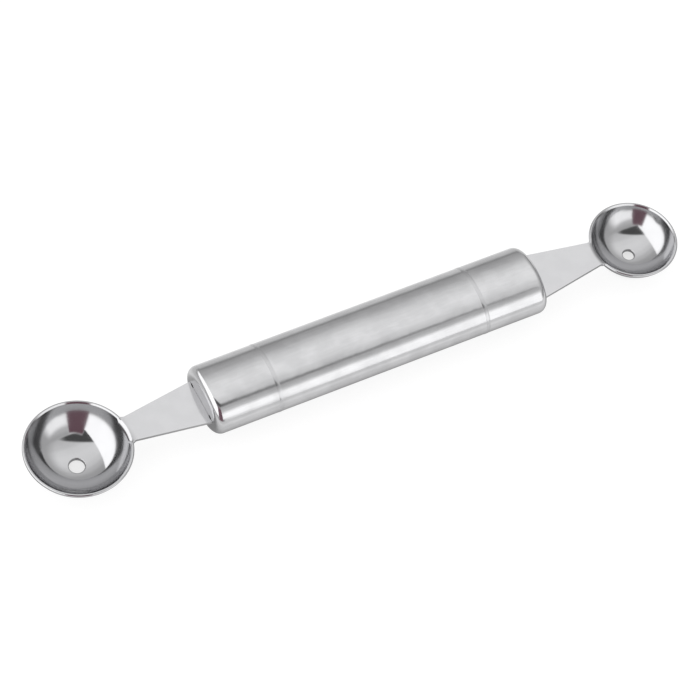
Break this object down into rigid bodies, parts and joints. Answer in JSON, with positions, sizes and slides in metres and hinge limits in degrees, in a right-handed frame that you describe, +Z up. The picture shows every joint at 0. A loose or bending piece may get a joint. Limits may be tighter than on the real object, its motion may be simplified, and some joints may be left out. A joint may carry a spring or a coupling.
{
  "type": "melon baller",
  "caption": "Double-ended melon baller: a large and a small round bowl on flat tapered blades, with drain holes, at the ends of an oval tubular steel handle.",
  "frame": {"origin": "under the middle of the overall length, on the plane that the large bowl's underside touches", "axes": "+X along the tool from the large bowl to the small one, +Z up out of the bowls' mouths"},
  "size_m": [0.2002, 0.03, 0.0179],
  "materials": {
    "handle_steel": "satin polished stainless steel",
    "scoop_steel": "mirror polished stainless steel",
    "weld_steel": "weld metal ground and polished level"
  },
  "bodies": {
    "root": {"handle_tube": "handle_steel", "large_end_cap": "handle_steel", "small_end_cap": "handle_steel", "large_scoop": "scoop_steel", "small_scoop": "scoop_steel", "large_seam_weld": "weld_steel", "small_seam_weld": "weld_steel", "large_tang_weld": "weld_steel", "small_tang_weld": "weld_steel"}
  },
  "joints": []
}
